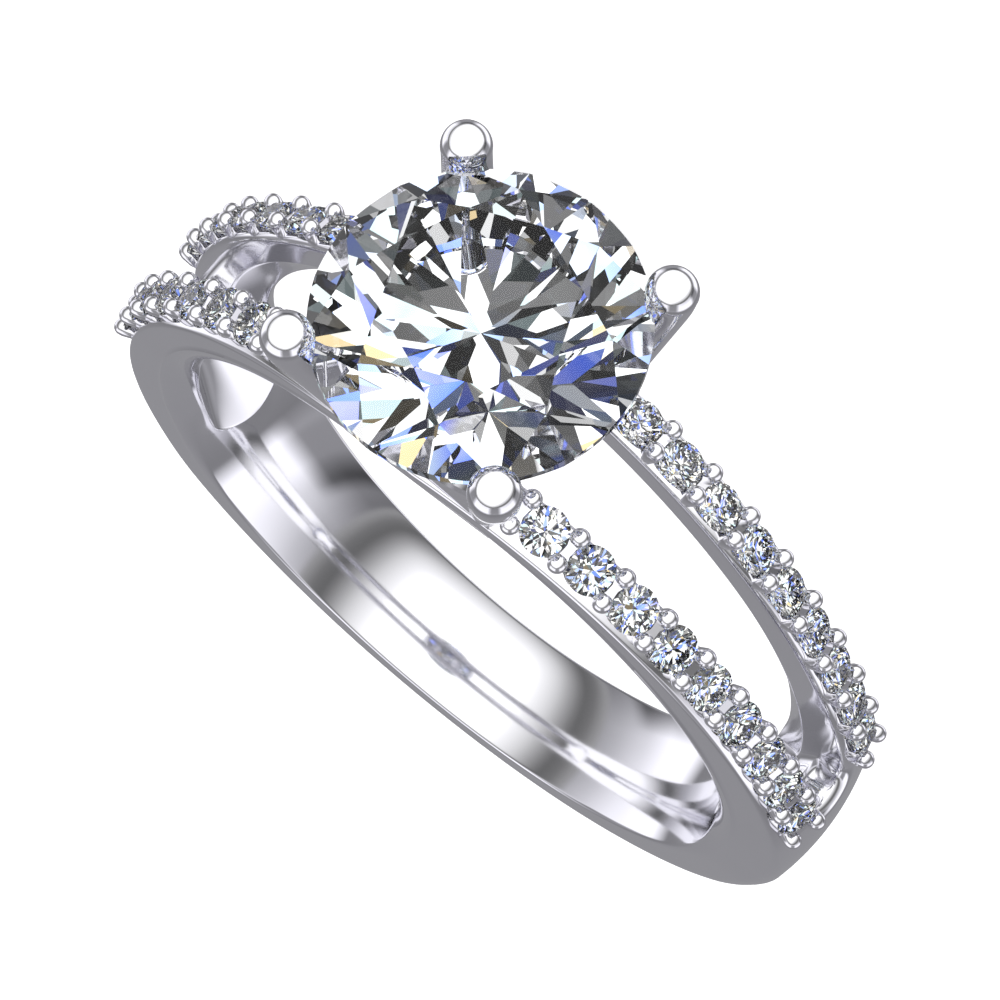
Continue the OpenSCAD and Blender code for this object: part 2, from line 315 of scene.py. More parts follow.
def gap_wall(u, top, low):
    """The gap's wall from its upper edge at top, with two rounded bends, to its lower edge at low."""
    close = step((u - CLOSE_FROM) / CLOSE_LONG)
    turn, y = contour(u, CROWN_LINE, wall_y)
    v0 = polar(turn, y, crown(turn, y))
    turn, y = contour(u, UPPER_LINE, wall_y)
    v1 = polar(turn, y, UPPER_R - UPPER_DROP * close)
    turn, y = contour(u, LOWER_LINE, wall_y)
    v2 = polar(turn, y, from_raised(turn, LOWER_R))
    turn, y = contour(u, HOLE_LINE, ridge_y)
    v3 = polar(turn, y, -soft_least(-from_raised(turn, RIDGE_RAISED), -hole(y), INNER_SOFT))

    upper_size = UPPER_ROUND + UPPER_MORE * close
    lower_size = LOWER_ROUND + LOWER_MORE * close
    edge_end = toward(v0, v1, round_size(u))
    upper_start, upper_end = toward(v1, v0, upper_size), toward(v1, v2, upper_size)
    lower_start, lower_end = toward(v2, v1, lower_size), toward(v2, v3, lower_size)
    ridge_start = toward(v3, v2, RIDGE_ROUND)

    rows = [bend(top, v0, edge_end, t) for t in np.linspace(0, 1, 10)]
    rows += [edge_end + (upper_start - edge_end) * t for t in (0.33, 0.66)]
    rows += [bend(upper_start, v1, upper_end, t) for t in np.linspace(0, 1, 7)]
    rows += [upper_end + (lower_start - upper_end) * t for t in (0.33, 0.66)]
    rows += [bend(lower_start, v2, lower_end, t) for t in np.linspace(0, 1, 7)]
    rows += [lower_end + (ridge_start - lower_end) * t for t in (0.25, 0.5, 0.75)]
    rows += [bend(ridge_start, v3, low, t) for t in np.linspace(0, 1, 6)]
    return np.stack(rows, 1)


def grid_faces(rows, cols, offset):
    corners = [offset + i * cols + j for i in range(rows - 1) for j in range(cols - 1)]
    return [(c, c + cols, c + cols + 1, c + 1) for c in corners]


def make_shank():
    u = np.linspace(0, 1, GAP_ROWS)
    band = band_grid(u)
    wall = gap_wall(u, band[:GAP_ROWS, 0], band[:GAP_ROWS, -1])
    points, faces = [], []
    for sx in (1, -1):
        for sy in (1, -1):
            for grid in (band, wall):
                faces += grid_faces(*grid.shape[:2], len(points))
                points += list((grid * np.array([sx, sy, 1])).reshape(-1, 3))
    obj = mesh_object("shank_and_rails", points, faces)
    weld(obj, BAND_MERGE)
    return obj


# cut stones

def brilliant(d, table=0.56, rim=0.02, crown_angle=34.5, pavilion_angle=40.8, star=0.5, lower=0.24):
    """Points and faces of a round brilliant with its girdle's middle plane at 0. The table, the rim's
    height and the star and lower facets are shares of the stone's size, the angles are in degrees."""
    half = 360 / 16
    c = math.cos(math.radians(half))
    crown_slope, pavilion_slope = (math.tan(math.radians(a)) for a in (crown_angle, pavilion_angle))
    r, rim_z = d / 2, rim * d / 2
    table_r = table * r
    table_z = rim_z + (r - table_r) * crown_slope
    tip_z = -rim_z - r * pavilion_slope
    star_r = table_r * c + (r - table_r * c) * star
    star_z = table_z - (star_r * c - table_r) * crown_slope
    lower_r = lower * r
    lower_z = tip_z + lower_r * c * pavilion_slope

    def ring(n, radius, z, shift=0.0):
        angles = [math.radians(360 / n * k + shift) for k in range(n)]
        return [(radius * math.cos(a), radius * math.sin(a), z) for a in angles]

    points = ring(8, table_r, table_z) + ring(8, star_r, star_z, half)
    points += ring(16, r, rim_z) + ring(16, r, -rim_z)
    points += ring(8, lower_r, lower_z, half) + [(0, 0, tip_z)]
    # where the rings after the table's start in the list of points
    stars, above, below, lowers, tip = 8, 16, 32, 48, 56
    faces = [tuple(range(8))]
    for k in range(8):
        before, after = (k + 7) % 8, (k + 1) % 8
        first, second, third = 2 * k, 2 * k + 1, (2 * k + 2) % 16
        faces += [
            (k, stars + k, after),
            (k, stars + before, above + first, stars + k),
            (stars + k, above + first, above + second),
            (stars + k, above + second, above + third),
            (lowers + k, below + second, below + first),
            (lowers + k, below + third, below + second),
            (tip, lowers + k, below + first, lowers + before),
        ]
    for k in range(16):
        n = (k + 1) % 16
        faces.append((above + k, below + k, below + n, above + n))
    return points, faces


# how much larger than needed a stone is made before its girdle is trimmed round
TRIM = 1.004


def round_brilliant(name, d, sides):
    """A brilliant whose girdle is round: a larger one, trimmed by a cylinder's side planes."""
    points, faces = brilliant(d / math.cos(math.radians(360 / 32)) * TRIM)
    obj = mesh_object(name, points, faces, smooth=False)
    bm = bmesh.new()
    bm.from_mesh(obj.data)
    bmesh.ops.recalc_face_normals(bm, faces=bm.faces)
    for k in range(sides):
        a = 2 * math.pi * (k + 0.5) / sides
        way = Vector((math.cos(a), math.sin(a), 0))
        cut = bmesh.ops.bisect_plane(
            bm, geom=bm.verts[:] + bm.edges[:] + bm.faces[:], dist=MERGE,
            plane_co=way * d / 2 * math.cos(math.pi / sides), plane_no=way, clear_outer=True,
        )
        edges = [g for g in cut["geom_cut"] if isinstance(g, bmesh.types.BMEdge)]
        if len(edges) > 2:
            bmesh.ops.contextual_create(bm, geom=edges)
    bmesh.ops.recalc_face_normals(bm, faces=bm.faces)
    bm.to_mesh(obj.data)
    bm.free()
    obj.data.polygons.foreach_set("use_smooth", [False] * len(obj.data.polygons))
    return obj


def turned(name, profile, segments):
    """A body of revolution round Z from (radius, height) points, top to bottom; closed at both poles."""
    points, faces = [], []
    n = len(profile)
    for k in range(segments):
        a = 2 * math.pi * k / segments
        points += [(r * math.cos(a), r * math.sin(a), z) for r, z in profile]
    for k in range(segments):
        m = (k + 1) % segments
        faces += [(k * n + i, k * n + i + 1, m * n + i + 1, m * n + i) for i in range(n - 1)]
    obj = mesh_object(name, points, faces)
    weld(obj, MERGE)
    return obj


# places along the rails

def rail_place(degrees, sx, sy):
    """Place at the bead tops of one half rail, with its outward lean, as a matrix."""
    toe = RAIL_Y + BEAD_OUT - RAIL_TOE * CROWN_TOP * math.sin(math.radians(degrees))
    return (
        Matrix.Rotation(math.radians(degrees * sx), 4, "Y")
        @ Matrix.Translation((0, toe * sy, BEAD_TOP + END_RISE * (degrees / END_ANGLE) ** 2))
        @ Matrix.Rotation(math.radians(-BEAD_LEAN * sy), 4, "X")
    )


def places_mesh(name, degrees, depth):
    """A mesh of loose points, one for each place, whose turn is kept as an attribute."""
    points, turns = [], []
    for sx, sy in QUARTERS:
        for d in degrees:
            m = rail_place(d, sx, sy) @ Matrix.Translation((0, 0, -depth))
            points.append(m.translation)
            turns.append(m.to_euler())
    obj = mesh_object(name, points, [])
    spin = obj.data.attributes.new("turn", "FLOAT_VECTOR", "POINT")
    spin.data.foreach_set("vector", [c for t in turns for c in t])
    return obj


def tree_base(name, sockets):
    tree = bpy.data.node_groups.new(name, "GeometryNodeTree")
    tree.interface.new_socket("Geometry", in_out="INPUT", socket_type="NodeSocketGeometry")
    for label, kind, value in sockets:
        s = tree.interface.new_socket(label, in_out="INPUT", socket_type=kind)
        if value is not None:
            s.default_value = value
    tree.interface.new_socket("Geometry", in_out="OUTPUT", socket_type="NodeSocketGeometry")
    return tree, tree.nodes.new("NodeGroupInput"), tree.nodes.new("NodeGroupOutput")


def place_tree(name, sockets, parts, material):
    """Tree that sets objects at each point. parts says for each one its object input, the input that
    holds twice its shift along Y or None, the sign of that shift, and the input that holds the seed of
    its random turn, up to an eighth of a circle, or None."""
    tree, source, target = tree_base(name, sockets)
    link = tree.links.new
    turn = tree.nodes.new("GeometryNodeInputNamedAttribute")
    turn.data_type = "FLOAT_VECTOR"
    turn.inputs["Name"].default_value = "turn"
    join = tree.nodes.new("GeometryNodeJoinGeometry")
    for what, shift, sign, seed in parts:
        info = tree.nodes.new("GeometryNodeObjectInfo")
        link(source.outputs[what], info.inputs["Object"])
        last = tree.nodes.new("GeometryNodeInstanceOnPoints")
        link(source.outputs["Geometry"], last.inputs["Points"])
        link(info.outputs["Geometry"], last.inputs["Instance"])
        link(turn.outputs["Attribute"], last.inputs["Rotation"])
        if shift:
            half = tree.nodes.new("ShaderNodeMath")
            half.operation = "MULTIPLY"
            half.inputs[1].default_value = sign / 2
            link(source.outputs[shift], half.inputs[0])
            vector = tree.nodes.new("ShaderNodeCombineXYZ")
            link(half.outputs[0], vector.inputs["Y"])
            move = tree.nodes.new("GeometryNodeTranslateInstances")
            link(last.outputs[0], move.inputs["Instances"])
            link(vector.outputs[0], move.inputs["Translation"])
            last = move
        if seed:
            random = tree.nodes.new("FunctionNodeRandomValue")
            random.data_type = "FLOAT"
            random.inputs["Min"].default_value = 0.0
            random.inputs["Max"].default_value = math.pi / 4
            link(source.outputs[seed], random.inputs["Seed"])
            vector = tree.nodes.new("ShaderNodeCombineXYZ")
            link(random.outputs["Value"], vector.inputs["Z"])
            spin = tree.nodes.new("GeometryNodeRotateInstances")
            link(last.outputs[0], spin.inputs["Instances"])
            link(vector.outputs[0], spin.inputs["Rotation"])
            last = spin
        link(last.outputs[0], join.inputs[0])
    real = tree.nodes.new("GeometryNodeRealizeInstances")
    link(join.outputs[0], real.inputs[0])
    paint = tree.nodes.new("GeometryNodeSetMaterial")
    paint.inputs["Material"].default_value = material
    link(real.outputs[0], paint.inputs["Geometry"])
    link(paint.outputs["Geometry"], target.inputs[0])
    return tree


def grown(name, carrier, tree, values):
    """The mesh that a tree grows on a carrier, as a plain object. The carrier is used up."""
    modifier = carrier.modifiers.new(name, "NODES")
    modifier.node_group = tree
    for item in tree.interface.items_tree:
        if item.in_out == "INPUT" and item.name in values:
            modifier[item.identifier] = values[item.name]
    graph = bpy.context.evaluated_depsgraph_get()
    mesh = bpy.data.meshes.new_from_object(carrier.evaluated_get(graph))
    mesh.name = name
    carrier.modifiers.remove(modifier)
    bpy.data.objects.remove(carrier)
    made = bpy.data.objects.new(name, mesh)
    bpy.context.scene.collection.objects.link(made)
    turn = mesh.attributes.get("turn")
    if turn:
        mesh.attributes.remove(turn)
    return made


def to_table(obj):
    """Takes a mesh of the standing ring to its place on the table, in metres."""
    obj.data.transform(REST)
    obj.data.transform(Matrix.Scale(1 / MM_PER_M, 4))
    obj.data.update()
    return obj


def finish_piece(obj, nodes, material):
    obj.data.materials.clear()
    obj.data.materials.append(material)
    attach(obj, "root")
    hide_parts(*nodes)


# materials

def node_material(name):
    material = bpy.data.materials.new(name)
    material.use_nodes = True
    material.node_tree.nodes.clear()
    return material, material.node_tree.nodes, material.node_tree.links.new


def clouded(nodes, link, scale, detail, dark, light):
    """A soft noise over the object, and the colour between two that follows it."""
    cloud = nodes.new("ShaderNodeTexNoise")
    cloud.inputs["Scale"].default_value = scale
    cloud.inputs["Detail"].default_value = detail
    tint = nodes.new("ShaderNodeValToRGB")
    tint.color_ramp.elements[0].color = (*dark, 1)
    tint.color_ramp.elements[1].color = (*light, 1)
    link(nodes.new("ShaderNodeTexCoord").outputs["Object"], cloud.inputs["Vector"])
    link(cloud.outputs["Fac"], tint.inputs["Fac"])
    return cloud.outputs["Fac"], tint.outputs["Color"]


def polished_metal():
    material, nodes, link = node_material("polished_white_gold")
    gold = nodes.new("ShaderNodeBsdfPrincipled")
    gold.inputs["Metallic"].default_value = 1.0
    cloud, tint = clouded(
        nodes, link, scale=260, detail=3, dark=(0.765, 0.762, 0.80), light=(0.835, 0.832, 0.862),
    )
    gloss = nodes.new("ShaderNodeMapRange")
    gloss.inputs["To Min"].default_value = 0.07
    gloss.inputs["To Max"].default_value = 0.1
    link(cloud, gloss.inputs["Value"])
    link(tint, gold.inputs["Base Color"])
    link(gloss.outputs["Result"], gold.inputs["Roughness"])
    link(gold.outputs[0], nodes.new("ShaderNodeOutputMaterial").inputs["Surface"])
    return material


def diamond(name, sheen, light, dark):
    material, nodes, link = node_material(name)
    stone = nodes.new("ShaderNodeBsdfPrincipled")
    stone.inputs["Transmission Weight"].default_value = 1.0
    stone.inputs["Roughness"].default_value = 0.0
    stone.inputs["IOR"].default_value = 2.417
    stone.inputs["Specular Tint"].default_value = (sheen, sheen, sheen, 1)
    tint = clouded(nodes, link, scale=500, detail=2, dark=dark, light=light)[1]
    link(tint, stone.inputs["Base Color"])
    link(stone.outputs[0], nodes.new("ShaderNodeOutputMaterial").inputs["Surface"])
    return material


def pale_floor():
    material, nodes, link = node_material("pale_floor")
    paint = nodes.new("ShaderNodeBsdfPrincipled")
    paint.inputs["Roughness"].default_value = 0.9
    paint.inputs["Specular IOR Level"].default_value = 0.0
    paint.inputs["Base Color"].default_value = (0.9, 0.9, 0.9, 1)
    paint.inputs["Emission Color"].default_value = (1, 1, 1, 1)
    paint.inputs["Emission Strength"].default_value = 0.85
    link(paint.outputs[0], nodes.new("ShaderNodeOutputMaterial").inputs["Surface"])
    return material


metal = polished_metal()
clear = diamond("clear_stone", sheen=0.12, light=(1, 1, 1), dark=(0.97, 0.98, 1.0))
clear_small = diamond("clear_stone_small", sheen=0.3, light=(1, 0.99, 0.955), dark=(0.98, 0.97, 0.92))

# pieces

shank = make_shank()
pair_angles = [PAIR_START + PAIR_PITCH * k for k in range(STONES + 1)]
stone_angles = [a + PAIR_PITCH / 2 for a in pair_angles[:-1]]

# seats: a cone with a straight rim, open above each small stone, as radii and heights from the top
SEAT = [(0, 1.0), (0.62, 1.0), (0.62, -0.03), (0.08, -0.56), (0.08, -0.75), (0, -0.75)]
seat_form = turned("seat_form", SEAT, 40)
seat_points = places_mesh("seat_places", stone_angles, SMALL_DEPTH)
seat_sockets = [("Seat", "NodeSocketObject", None)]
seat_tree = place_tree("Seats along the rails", seat_sockets, [("Seat", None, 0, None)], metal)
seats = grown("seats", seat_points, seat_tree, {"Seat": seat_form})
cut = shank.modifiers.new("seats", "BOOLEAN")
cut.operation = "DIFFERENCE"
cut.solver = "MANIFOLD"
cut.object = seats
graph = bpy.context.evaluated_depsgraph_get()
cut_mesh = bpy.data.meshes.new_from_object(shank.evaluated_get(graph))
shank.modifiers.remove(cut)
shank.data = cut_mesh
for helper in (seats, seat_form):
    bpy.data.objects.remove(helper)
sharp_from(shank, CRISP)
to_table(shank)
finish_piece(shank, ["band"], metal)

# beads: short posts with domed tops, as radii and heights, and the flat bridges between the small stones
BEAD_FOOT = [(BEAD_R, -0.33), (0.17, -0.62), (0.1, -0.75), (0, -0.75)]
# half the length and width of a bridge, its bottom, and how far its top stands above the stones' girdles
BRIDGE_X, BRIDGE_Y, BRIDGE_FOOT, BRIDGE_OUT = 0.16, 0.2, -0.9, 0.04
dome = [(BEAD_R * math.sin(a), BEAD_R * (math.cos(a) - 1)) for a in np.linspace(0, math.pi / 2, 13)]
bead_form = turned("bead_form", [(0, 0)] + dome[1:] + BEAD_FOOT, 32)
bridge_corners = [
    (x, y, z)
    for x in (-BRIDGE_X, BRIDGE_X)
    for y in (-BRIDGE_Y, BRIDGE_Y)
    for z in (BRIDGE_FOOT, -SMALL_DEPTH + BRIDGE_OUT)
]
bridge_faces = [(0, 1, 3, 2), (4, 6, 7, 5), (0, 4, 5, 1), (2, 3, 7, 6), (0, 2, 6, 4), (1, 5, 7, 3)]
bridge_form = mesh_object("bridge_form", bridge_corners, bridge_faces, smooth=False)
bead_sockets = [
    ("Bead", "NodeSocketObject", None),
    ("Bridge", "NodeSocketObject", None),
    ("Distance of a pair", "NodeSocketFloat", BEAD_GAP),
]
bead_parts = [
    ("Bead", "Distance of a pair", 1, None),
    ("Bead", "Distance of a pair", -1, None),
    ("Bridge", None, 0, None),
]
bead_tree = place_tree("Beads and bridges along the rails", bead_sockets, bead_parts, metal)
beads = grown(
    "beads_and_bridges", places_mesh("bead_places", pair_angles, 0), bead_tree,
    {"Bead": bead_form, "Bridge": bridge_form, "Distance of a pair": BEAD_GAP},
)
for helper in (bead_form, bridge_form):
    bpy.data.objects.remove(helper)
sharp_from(beads, CRISP)
to_table(beads)
finish_piece(beads, ["band"], metal)

# small stones
TURN_SEED = 4
small_form = round_brilliant("small_form", SMALL_D, 32)
small_sockets = [("Stone", "NodeSocketObject", None), ("Seed of the turns", "NodeSocketInt", TURN_SEED)]
small_parts = [("Stone", None, 0, "Seed of the turns")]
small_tree = place_tree("Small stones along the rails", small_sockets, small_parts, clear_small)
small = grown(
    "small_brilliants", places_mesh("stone_places", stone_angles, SMALL_DEPTH), small_tree,
    {"Stone": small_form, "Seed of the turns": TURN_SEED},
)
bpy.data.objects.remove(small_form)
to_table(small)
small_nodes = [f"accent_stone_{q}_{i}" for q in ("fr", "fl", "nr", "nl") for i in range(1, STONES + 1)]
finish_piece(small, small_nodes, clear_small)

# centre stone
centre = round_brilliant("centre_brilliant", STONE_D, 96)
centre.data.transform(Matrix.Translation((0, 0, STONE_Z)))
to_table(centre)
finish_piece(centre, ["centre_stone"], clear)

# claws: a leaning post that bends upright into a domed head; the top, the foot and the radius of one
CLAW = Vector((2.87, 3.015, 15.62))
CLAW_FOOT = Vector((1.85, 1.85, 10.9))
CLAW_R = 0.58
# length of the bend below and above the knee, and how much wider the foot and the dome are
CLAW_BELOW, CLAW_ABOVE, CLAW_FOOT_MORE, CLAW_DOME_MORE = 0.35, 0.18, 0.04, 0.012
# sides of a claw, and the angle at which its last ring stops short of the top
CLAW_SIDES, CLAW_LAST = 48, 0.02


def claw_rings():
    """Centres, directions and radii of the rings of one claw, from the foot to the top."""
    knee = Vector((CLAW.x, CLAW.y, CLAW.z - CLAW_R - CLAW_ABOVE))
    way = (knee - CLAW_FOOT).normalized()
    up = Vector((0, 0, 1))
    rings = []
    length = (knee - CLAW_FOOT).length
    for t in np.linspace(0, 1, 14):
        rings.append((CLAW_FOOT + way * (length - CLAW_BELOW) * t, way, CLAW_R + CLAW_FOOT_MORE * (1 - t)))
    for t in np.linspace(0, 1, 9)[1:]:
        p = bend(np.array(knee - way * CLAW_BELOW), np.array(knee), np.array(knee + up * CLAW_ABOVE), t)
        rings.append((Vector(p), (way * (1 - t) + up * t).normalized(), CLAW_R))
    dome_r = CLAW_R + CLAW_DOME_MORE
    for a in np.linspace(0, math.pi / 2 - CLAW_LAST, 24):
        p = Vector((CLAW.x, CLAW.y, CLAW.z + dome_r * (math.sin(a) - 1)))
        rings.append((p, up, dome_r * math.cos(a)))
    return rings


def make_claws():
    points, faces = [], []
    rings = claw_rings()
    for sx, sy in QUARTERS:
        faces += tube_faces(len(points), len(rings), CLAW_SIDES)
        for middle, way, radius in rings:
            side = Vector((way.z, 0, -way.x)).normalized()
            other = way.cross(side)
            for k in range(CLAW_SIDES):
                a = 2 * math.pi * k / CLAW_SIDES
                p = middle + side * radius * math.cos(a) + other * radius * math.sin(a)
                points.append((p.x * sx, p.y * sy, p.z))
    obj = mesh_object("claws", points, faces)
    weld(obj, MERGE)
    return obj


claws = make_claws()
sharp_from(claws, CLAW_CRISP)
to_table(claws)
finish_piece(claws, ["band"], metal)

# the gallery's walls: half length, top, bottom, how much thinner than the rail, and their chamfer
WALL_X_END, WALL_TOP, WALL_FOOT, WALL_THIN, CHAMFER = 2.15, 12.5, 10.2, 0.12, 0.08
# the hollow in the top of each wall: height of its middle and radius
HOLLOW_Z, HOLLOW_R = 14.25, 2.85
# the cross bridges: half width, half height and rounding, and the place and half length of one
BAR_WIDE, BAR_HIGH, BAR_ROUND = 0.4, 0.45, 0.15
BAR_X, BAR_Z, BAR_END = 1.2, 10.5, 1.67


def make_gallery():
    """Walls that join the claws of each rail, hollowed in the middle, and the two cross bridges."""
    points, faces = [], []
    xs = np.linspace(-WALL_X_END, WALL_X_END, 41)
    top = np.minimum(WALL_TOP, HOLLOW_Z - np.sqrt(np.clip(HOLLOW_R ** 2 - xs ** 2, 0, None)))
    y0, y1 = RAIL_Y - RAIL_W / 2, RAIL_Y + RAIL_W / 2 - WALL_THIN
    for sy in (1, -1):
        faces += tube_faces(len(points), len(xs), 6)
        for x, z in zip(xs, top):
            left = [(y0, WALL_FOOT), (y0, z - CHAMFER), (y0 + CHAMFER, z)]
            right = [(y1 - CHAMFER, z), (y1, z - CHAMFER), (y1, WALL_FOOT)]
            points += [(x, y * sy, h) for y, h in left + right]
    profile = []
    for quarter, (x, z) in enumerate([(1, 1), (-1, 1), (-1, -1), (1, -1)]):
        for a in np.linspace(0, math.pi / 2, 5) + quarter * math.pi / 2:
            out = x * (BAR_WIDE - BAR_ROUND) + BAR_ROUND * math.cos(a)
            profile.append((out, z * (BAR_HIGH - BAR_ROUND) + BAR_ROUND * math.sin(a)))
    for side in (1, -1):
        faces += tube_faces(len(points), 2, len(profile))
        for y in (-BAR_END, BAR_END):
            points += [(side * BAR_X + x, y, BAR_Z + z) for x, z in profile]
    obj = mesh_object("gallery", points, faces)
    weld(obj, MERGE)
    return obj


gallery = make_gallery()
sharp_from(gallery, CRISP)
to_table(gallery)
finish_piece(gallery, ["band"], metal)

# floor, light and camera

# half the floor's side, in metres
FLOOR = 3
SQUARE = [(-1, -1), (1, -1), (1, 1), (-1, 1)]
floor = mesh_object("floor", [(x * FLOOR, y * FLOOR, 0) for x, y in SQUARE], [(0, 1, 2, 3)], smooth=False)
floor.data.materials.append(pale_floor())
floor.visible_glossy = False
floor.visible_transmission = False
floor.visible_shadow = False

# a wide soft lamp above the standing ring's stone, seen only in the metal: the place of its middle, its
# half width across the finger, how many times longer it is along the finger, the power that squares its
# outline, and the width of its fading border
LAMP_Y, LAMP_Z, LAMP_END, LAMP_LONG, LAMP_BEND, LAMP_FADE = 1.0, 22.8, 68.0, 43 / 27, 6, 12.0
# distance from the lamp's middle across the finger, and the light there
LAMP_LIGHT = [
    (0, 1.7), (15, 1.6), (18, 1.2), (21, 1.0), (24, 0.8), (27, 0.57), (30, 0.4), (34, 0.24), (38, 0.15),
    (46, 0.2), (54, 0.32), (68, 0.46),
]


def math_node(tree, operation, *values):
    """Output of a math node; a value is a number or the output of another node."""
    n = tree.nodes.new("ShaderNodeMath")
    n.operation = operation
    for socket, value in zip(n.inputs, values):
        if isinstance(value, (int, float)):
            socket.default_value = value
        else:
            tree.links.new(value, socket)
    return n.outputs[0]


def dot(tree, vector, axis):
    n = tree.nodes.new("ShaderNodeVectorMath")
    n.operation = "DOT_PRODUCT"
    tree.links.new(vector, n.inputs[0])
    n.inputs[1].default_value = axis
    return n.outputs["Value"]


def ramp(tree, value, stops, interpolation="LINEAR"):
    """Output of a ramp; a stop is a place from 0 to 1 and the grey level or the colour there."""
    n = tree.nodes.new("ShaderNodeValToRGB")
    n.color_ramp.interpolation = interpolation
    elements = n.color_ramp.elements
    for k, (at, tone) in enumerate(stops):
        item = elements[k] if k < 2 else elements.new(at)
        item.position = at
        item.color = (*tone, 1) if isinstance(tone, tuple) else (tone, tone, tone, 1)
    tree.links.new(value, n.inputs[0])
    return n.outputs[0]


def lamp_glow():
    """Light that changes from the lamp's middle outwards and fades at its outline."""
    material, nodes, link = node_material("lamp_glow")
    tree = material.node_tree
    shift = nodes.new("ShaderNodeVectorMath")
    shift.operation = "SUBTRACT"
    shift.inputs[1].default_value = REST @ Vector((0, LAMP_Y, LAMP_Z)) / MM_PER_M
    link(nodes.new("ShaderNodeTexCoord").outputs["Object"], shift.inputs[0])
    squared = []
    for axis, size in (((1, 0, 0), LAMP_END), ((0, 1, 0), LAMP_END * LAMP_LONG)):
        part = dot(tree, shift.outputs[0], REST.to_3x3() @ Vector(axis) * (MM_PER_M / size))
        squared.append(math_node(tree, "POWER", math_node(tree, "ABSOLUTE", part), LAMP_BEND))
    away = math_node(tree, "POWER", math_node(tree, "ADD", *squared), 1 / LAMP_BEND)
    glow = nodes.new("ShaderNodeEmission")
    link(ramp(tree, away, [(at / LAMP_END, level) for at, level in LAMP_LIGHT]), glow.inputs["Color"])
    share = nodes.new("ShaderNodeMapRange")
    share.interpolation_type = "SMOOTHSTEP"
    share.inputs["From Min"].default_value = 1 - LAMP_FADE / LAMP_END
    share.inputs["To Min"].default_value = 1
    share.inputs["To Max"].default_value = 0
    link(away, share.inputs["Value"])
    mix = nodes.new("ShaderNodeMixShader")
    link(share.outputs["Result"], mix.inputs[0])
    link(nodes.new("ShaderNodeBsdfTransparent").outputs[0], mix.inputs[1])
    link(glow.outputs[0], mix.inputs[2])
    link(mix.outputs[0], nodes.new("ShaderNodeOutputMaterial").inputs["Surface"])
    material.cycles.emission_sampling = "NONE"
    return material


lamp_corners = [(x * LAMP_END, LAMP_Y + y * LAMP_END * LAMP_LONG, LAMP_Z) for x, y in SQUARE]
lamp = mesh_object("lamp", lamp_corners, [(0, 1, 2, 3)], smooth=False)
to_table(lamp)
lamp.data.materials.append(lamp_glow())
lamp.visible_camera = False
lamp.visible_diffuse = False
lamp.visible_transmission = False
lamp.visible_shadow = False

# the standing ring's ways up and to its far side, as it lies on the table, and the walls' two ways, which
# are turned a little from the ring's
UP, FAR = Vector((0, 0.996797, 0.079971)), Vector((0, 0.079971, -0.996797))
ROOM_TURN = Matrix.Rotation(math.radians(-6), 3, UP)
WALL_X, WALL_Y = ROOM_TURN @ Vector((1, 0, 0)), ROOM_TURN @ FAR


def down_stops(*stops):
    """Stops of a ramp from degrees away from straight up."""
    return [(degrees / 180, level) for degrees, level in stops]


# light of the walls and of the ground, by the angle from straight up
WALLS = 1.6
WALL_STOPS = down_stops(
    (0, 0.12), (52, 0.12), (60, 0.17), (67, 0.26), (75, 0.35), (82, 0.46), (89, 0.56), (98, 0.7), (114, 0.72),
    (124, 0),
)
GROUND_STOPS = down_stops((0, 0), (110, 0), (125, 0.25), (150, 0.32), (180, 0.32))
# the walls' light from the near side, at 0, to the far side, at 1; lower down it is even all round
SIDE_STOPS = [(0, 1.35), (0.325, 1.31), (0.665, 1.0), (0.725, 0.83), (0.79, 0.6), (0.85, 0.4), (1, 0.25)]
EVEN_STOPS = down_stops((0, 0), (88, 0), (98, 1), (180, 1))
EVEN_LIGHT = 1.15
# the dark seams in the room's corners: how dark, by how near the corner is, and where they start
CORNER_STOPS = [(0.0, 0.0), (0.36, 0.0), (0.47, 0.75)]
SEAM_STOPS = down_stops((0, 0), (80, 0), (86, 1), (180, 1))
ROOM_TINT = (0.985, 0.98, 1.03)
NOT_ZERO = 0.0001
# what light that has passed a stone meets: dark, grey and white cards all round, as the share of the
# cards and their light; a card's light falls from its middle to its border
CARDS = [(0.12, 0.006), (0.16, 0.036), (0.14, 0.12), (0.13, 0.21), (0.11, 0.4), (0.11, 0.62), (0.23, 1.3)]
CELLS, CARD_LIGHT, CARD_MIDDLE, CARD_FALL = 3.3, 1.3, 1.25, -0.9
CARD_AXIS, CARD_TURN = (0.45, 0.6, 0.66), math.radians(220)
# the cards' colours: scale of a noise, and the colour at its levels
FIRE = 3.4
FIRE_TONES = [
    (0.0, (0.9, 0.62, 0.3)), (0.33, (1.0, 0.8, 0.45)), (0.37, (1, 1, 0.96)), (0.41, (0.72, 0.97, 1)),
    (0.45, (1, 1, 1)), (0.55, (1, 1, 1)), (0.585, (0.6, 0.78, 1.1)), (0.62, (0.14, 0.3, 1.6)),
    (0.66, (0.5, 0.55, 1.4)), (0.7, (1, 1, 1)),
]


